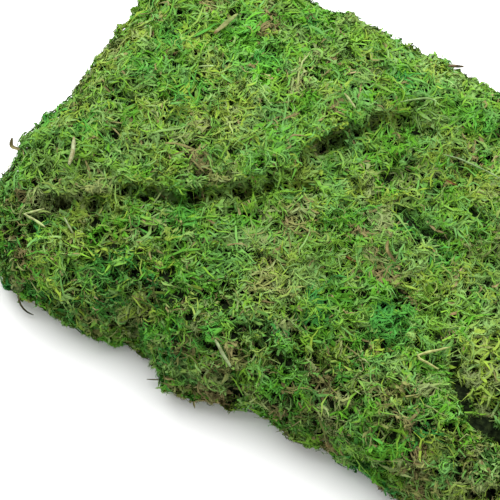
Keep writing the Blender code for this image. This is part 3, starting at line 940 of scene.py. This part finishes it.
def tones(guide, places, normals, corners, tufts, depth, rng):
    """Palette place and brightness of each strand, by its tuft, by chance and by depth.

    The brightness holds painted shade by depth, on the sides and in pockets and slots, and painted
    light near the floor and high on top.
    """
    count = len(tufts)
    near = slow_noise(places, NEAR_LENGTH)
    slow = slow_noise(places, SLOW_LENGTH, 1)
    tone = guide.tufts.tone[tufts] + NEAR_TONE * near + rng.normal(0, STRAND_TONE_SPREAD, count)
    # Strands in the lip's pockets lean to brown: partly dead moss, partly painted shade
    tone = np.clip(tone - POCKET_BROWN_AND_SHADE * guide.pocket[corners], *LIVE_TONES)
    odd = rng.random(count)
    tone = np.where(odd < STRAW_SHARE, rng.uniform(*STRAW_TONES, count), tone)
    tan = (odd > STRAW_SHARE) & (odd < ODD_SHARE)
    tone = np.where(tan, rng.uniform(*TAN_TONES, count), tone)
    bright = STRAND_LIGHT + guide.tufts.bright[tufts] + NEAR_LIGHT * near + SLOW_LIGHT * slow
    # Painted shade by depth and in sunk places, deeper in the front shoulder's creases
    sunk = guide.sunk[corners] * (1 + FRONT_SHADE * (roughness_at(places[:, 1]) - 1))
    bright += rng.normal(0, STRAND_LIGHT_SPREAD, count) - SHADE_PER_METRE * (depth + sunk)
    # Painted shade on the sides
    bright -= SIDE_SHADE * (1 - np.abs(normals[:, 2]))
    # Painted light high on top, and light bounced from the floor painted near it
    bright += HEIGHT_LIGHT * np.maximum(places[:, 2] - HEIGHT_MIDDLE, 0)
    bright += FLOOR_LIGHT * np.clip(1 - places[:, 2] / FLOOR_LIGHT_REACH, 0, 1)
    # Painted shade in the lip's pockets
    bright *= 1 - POCKET_SHADE * guide.pocket[corners]
    # Painted shade in the slots
    bright *= 1 - SLOT_SHADE * guide.slot[corners]
    return np.clip(tone, *PALETTE_ENDS), np.clip(bright / BRIGHT_TOP, DARKEST, 1.0)


def widths_of(count, nodes, width, rng):
    """Width along each strand: narrow at the root, uneven as leafy stems are, and pointed."""
    share = np.linspace(0, 1, nodes)
    body = ROOT_WIDTH + BODY_WIDTH * np.sin(math.pi * share ** BODY_SHAPE)
    body = body * (1 - TIP_TAPER * share ** TIP_SHAPE)
    ragged = rng.uniform(*WIDTH_RAGGED, (count, nodes))
    return width * body * ragged * rng.lognormal(0, WIDTH_SPREAD, (count, 1))


class Bundle:
    """Ribbons and leaflets gathered for one mesh."""

    def __init__(self):
        self.places = []
        self.normals = []
        self.maps = []
        self.faces = []
        self.count = 0

    def add(self, places, normals, maps, faces):
        """Add vertices, and faces that count from their first vertex."""
        self.faces.append(faces + self.count)
        self.places.append(places.reshape(-1, 3))
        self.normals.append(normals.reshape(-1, 3))
        self.maps.append(maps.reshape(-1, 2))
        self.count += len(self.places[-1])

    def add_ribbons(self, strands, columns):
        """A ribbon along each route, flat or with a ridge, with normals that round it."""
        points, sides, widths, tone, bright, facing = strands
        count, nodes = points.shape[:2]
        half = (widths / 2)[:, :, None]
        run = unit(np.gradient(points, axis=1))
        up = unit(np.cross(run, sides))
        share = np.linspace(0, 1, nodes)
        phase = math.pi * (RUN_PHASE[0] + RUN_PHASE[1] * share)
        # Darker towards the root: partly older moss, partly painted shade
        along = bright[:, None] * (RUN_LIGHT[0] + RUN_LIGHT[1] * np.sin(phase) ** RUN_SHAPE)
        places, normals, maps = [], [], []
        for across in np.linspace(-1, 1, columns):
            edge = abs(across)
            raised = up * half * RIDGE * (1 - edge)
            places.append(points + sides * half * across + raised)
            normals.append(unit(up + sides * across * ROUNDING + facing[:, None] * FACING))
            tone_here = (tone + across * UV_HALF)[:, None] + 0 * along
            # Outer columns of a ridged ribbon get painted shade
            shade = along * (EDGE_SHADE if edge and columns > 2 else 1)
            maps.append(np.stack([tone_here, shade], 2))
        first = (np.arange(count) * nodes * columns)[:, None, None]
        first = first + (np.arange(nodes - 1) * columns)[:, None] + np.arange(columns - 1)
        faces = np.stack([first, first + columns, first + columns + 1, first + 1], 3)
        self.add(np.stack(places, 2), np.stack(normals, 2), np.stack(maps, 2),
                 faces.reshape(-1, 4))

    def add_leaflets(self, strands, each, leaf, rng):
        """Narrow pointed leaves on both sides of each route."""
        points, sides, _, tone, bright, facing = strands
        length, width, spread = leaf
        count, nodes = points.shape[:2]
        share = np.linspace(*LEAFLET_PLACES, each)
        low = (share * (nodes - 1)).astype(int)
        part = (share * (nodes - 1) - low)[:, None]
        base = points[:, low] * (1 - part) + points[:, low + 1] * part
        run = unit(points[:, low + 1] - points[:, low])
        hand = np.where(np.arange(each) % 2, 1, -1)[:, None]
        side = sides[:, low] * hand
        up = unit(np.cross(run, sides[:, low]))
        shorter = (LEAFLET_LARGEST - LEAFLET_SHRINK * share)[:, None]
        angle = rng.normal(spread, LEAFLET_SPREAD, (count, each, 1)) * shorter
        lift = rng.normal(*LEAFLET_LIFT, (count, each, 1))
        out = unit(run * np.cos(angle) + side * np.sin(angle) + up * lift)
        reach = length * rng.uniform(*LEAFLET_LENGTHS, (count, each, 1)) * shorter
        half = run * hand * width / 2
        places = np.stack([base - half, base + half, base + out * reach], 2)
        up = unit(up + facing[:, None] * FACING)
        normals = np.stack([up, up, unit(up + out * ROUNDING)], 2)
        # Lighter towards the stem's tip, with painted shade at each leaflet's foot
        shade = bright[:, None] * (LEAFLET_LIGHT[0] + LEAFLET_LIGHT[1] * share)
        foot = shade * LEAFLET_FOOT_SHADE
        tone = tone[:, None] + np.zeros(each)
        across = np.stack([tone - UV_HALF, tone + UV_HALF, tone], 2)
        along = np.stack([foot, foot, shade], 2)
        faces = np.arange(count * each * 3).reshape(-1, 3)
        self.add(places, normals, np.stack([across, along], 3), faces)

    def mesh(self, name):
        """One mesh of everything gathered."""
        made = bpy.data.meshes.new(name)
        places = np.concatenate(self.places)
        places[:, 2] = np.maximum(places[:, 2], FLOOR_GAP)
        normals = np.concatenate(self.normals)
        maps = np.concatenate(self.maps)
        corners = np.concatenate([faces.ravel() for faces in self.faces])
        sizes = np.concatenate([np.full(len(faces), faces.shape[1]) for faces in self.faces])
        made.vertices.add(len(places))
        made.vertices.foreach_set("co", places.ravel())
        made.loops.add(len(corners))
        made.loops.foreach_set("vertex_index", corners)
        made.polygons.add(len(sizes))
        made.polygons.foreach_set("loop_start", np.cumsum(sizes) - sizes)
        layer = made.uv_layers.new(name=UV_NAME)
        layer.uv.foreach_set("vector", maps[corners].astype(np.float32).ravel())
        made.update(calc_edges=True)
        made.shade_smooth()
        made.normals_split_custom_set_from_vertices(normals.tolist())
        return made


def trim_tree():
    """Search tree over the straws, stems, twig and leaf."""
    joined = bmesh.new()
    for name in [*TRIM, "dry_leaf"]:
        joined.from_mesh(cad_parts[name].data)
    tree = BVHTree.FromBMesh(joined)
    joined.free()
    return tree


def over_trim(tree, points):
    """Which routes pass close over a straw, stem, twig or leaf, apart from one in TRIM_KEPT."""
    middles = (points[:, 1:] + points[:, :-1]) / 2
    every = np.concatenate([points, middles], 1).tolist()
    found = [any(tree.ray_cast(place, -UP, TRIM_REACH)[0] for place in route) for route in every]
    return np.array(found) & (np.arange(len(points)) % TRIM_KEPT > 0)


def grow(guide, kind, rng):
    """Strands of one kind over the guide: routes, widths and colours, and the roots."""
    count = int(guide.area() * DENSITY * kind["share"])
    places, normals, corners = guide.sample(count, rng)
    base = places[:, 2] < FLAT_BASE
    keep = ~base | (rng.random(count) < BASE_DENSITY / DENSITY)
    places, normals, corners = places[keep], normals[keep], corners[keep]
    tufts = guide.tufts.nearest(places + rng.normal(0, TUFT_MIXING, places.shape))
    heading = guide.tufts.lie[tufts] * kind["together"] + unit(rng.normal(0, 1, places.shape))
    points, sides, depth = walk(guide, places, normals, unit(heading), kind, rng)
    tone, bright = tones(guide, places, normals, corners, tufts, depth, rng)
    widths = widths_of(len(places), kind["nodes"], kind["width"], rng)
    over = (slot_depth(points) / SLOT_FULL).max(1) > SLOT_CLEAR
    keep = ~over | (guide.slot[corners] > SLOT_CLEAR)
    keep &= ~over_trim(guide.trim, points)
    strands = (points, sides, widths, tone, bright, normals)
    return places[keep], [values[keep] for values in strands]


def fringe(guide, rng):
    """Strands that hang over the lip in its open places."""
    every = lip_stations(FRINGE_STEP)
    stations = [item for item in every if openness(item[0]) > FRINGE_OPENNESS]
    roots, normals, corners, fronts = [], [], [], []
    for index in rng.integers(0, len(stations), FRINGE_COUNT):
        point, front = stations[index]
        place = point - front * rng.uniform(*FRINGE_BACK)
        root, normal, face, _ = guide.tree.ray_cast(Vector((place.x, place.y, ABOVE)), -UP)
        roots.append(root)
        normals.append(normal)
        corners.append(guide.corners[face, 0])
        fronts.append(front)
    roots = np.array(roots)
    normals = np.array(normals)
    heading = unit(np.array(fronts) + rng.normal(0, FRINGE_TURN, roots.shape))
    points, sides, depth = walk(guide, roots, normals, heading, FRINGE, rng)
    tufts = guide.tufts.nearest(roots)
    tone, bright = tones(guide, roots, normals, np.array(corners), tufts, depth, rng)
    widths = widths_of(FRINGE_COUNT, FRINGE["nodes"], FRINGE["width"], rng)
    return roots, (points, sides, widths, tone, bright, normals)


def strays():
    """Single stems and hairs that stand out by themselves."""
    share = np.linspace(0, 1, STRAY["nodes"])
    routes = []
    for route, _, _, _ in STRAYS_MM:
        knots = np.array(route, float) * MM
        at = np.linspace(0, 1, len(knots))
        line = np.stack([np.interp(share, at, knots[:, axis]) for axis in range(3)], 1)
        for _ in range(STRAY_SMOOTHING):
            line[1:-1] = (line[:-2] + 2 * line[1:-1] + line[2:]) / 4
        routes.append(line)
    points = np.array(routes)
    sides = unit(np.cross(np.gradient(points, axis=1), np.array(UP)))
    widths, tone, bright = (np.array([item[k] for item in STRAYS_MM]) for k in (1, 2, 3))
    taper = 1 - STRAY_TAPER * np.abs(2 * share - 1) ** STRAY_TAPER_SHAPE
    widths = widths[:, None] * MM * taper
    facing = np.tile(np.array(UP), (len(points), 1))
    return points[:, 0], (points, sides, widths, tone, bright / BRIGHT_TOP, facing)


def owners(places):
    """Name of the mat that each place lies on."""
    trees = []
    for name in MATS:
        item = bmesh.new()
        item.from_mesh(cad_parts[name].data)
        trees.append(BVHTree.FromBMesh(item))
        item.free()
    lower, upper = (np.array([tree.find_nearest(place)[3] for place in places.tolist()])
                    for tree in trees)
    return np.where(upper < lower, "upper_moss_mat", "lower_moss_mat")


def add_strands(guide, looks, rng):
    """All strands, in pieces that stay under the limit of triangles."""
    grown = [(kind, *grow(guide, kind, rng)) for kind in KINDS.values()]
    grown.append((FRINGE, *fringe(guide, rng)))
    grown.append((STRAY, *strays()))
    mats = [owners(places) for _, places, _ in grown]
    for node, slot in MATS.items():
        cost = 0
        for own, (kind, _, _) in zip(mats, grown):
            ribbon = (kind["nodes"] - 1) * (kind["columns"] - 1)
            cost += (own == node).sum() * (2 * ribbon + kind["leaflets"])
        pieces = math.ceil(cost / PIECE_TRIANGLES)
        for index in range(pieces):
            bundle = Bundle()
            for own, (kind, _, strands) in zip(mats, grown):
                chosen = np.array_split(np.flatnonzero(own == node), pieces)[index]
                part = [values[chosen] for values in strands]
                bundle.add_ribbons(part, kind["columns"])
                if kind["leaflets"]:
                    bundle.add_leaflets(part, kind["leaflets"], kind["leaf"], rng)
            label = f"{slot}_strands_{index + 1}"
            add_piece(label, bundle.mesh(label), looks, node)


def add_inside(guide, node, looks):
    """Inside of a mat, dark with painted shade, kept under the surface that its strands follow."""
    mesh = remeshed(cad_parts[node].data.copy(), INSIDE_VOXEL, INSIDE_SMOOTHING)
    item = bmesh.new()
    item.from_mesh(mesh)
    for _ in range(INSIDE_ROUNDS):
        bmesh.ops.smooth_vert(item, verts=item.verts, factor=INSIDE_SOFTENING,
                              use_axis_x=True, use_axis_y=True, use_axis_z=True)
        places = np.array([vertex.co for vertex in item.verts])
        points, normals = guide.nearest(places)
        outward = ((places - points) * normals).sum(1)
        places -= normals * np.clip(outward + INSIDE_DEPTH, 0, INSIDE_STEP)[:, None]
        for vertex, place in zip(item.verts, places):
            vertex.co = place
    item.to_mesh(mesh)
    item.free()
    mesh.shade_smooth()
    add_piece(MATS[node] + "_inside", mesh, looks, node)


def add_trim(node, looks):
    """A straw, stem, twig or leaf: uneven, and lifted a little out of the strands."""
    item = bmesh.new()
    item.from_mesh(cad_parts[node].data)
    bmesh.ops.remove_doubles(item, verts=item.verts, dist=TRIM_WELD)
    bmesh.ops.subdivide_edges(item, edges=item.edges, cuts=TRIM_CUTS, use_grid_fill=True)
    item.normal_update()
    for vertex in item.verts:
        ripple = noise.noise(vertex.co / TRIM_UNEVEN_LENGTH) - TRIM_SINK
        vertex.co += vertex.normal * ripple * TRIM_UNEVEN + UP * TRIM_LIFT
    mesh = bpy.data.meshes.new(node + "_looks")
    item.to_mesh(mesh)
    item.free()
    mesh.shade_smooth()
    add_piece(node + "_looks", mesh, looks, node)


def build():
    """Everything in the scene."""
    add_camera()
    add_light()
    add_floor()
    rng = np.random.default_rng(SEED)
    guide = Guide(rng)
    inside = inside_shade_material()
    for node in MATS:
        add_inside(guide, node, inside)
    add_strands(guide, moss_material(), rng)
    for node, (slot, light, dark) in TRIM.items():
        add_trim(node, trim_material(node, light, dark))
    add_trim("dry_leaf", leaf_material())


build()
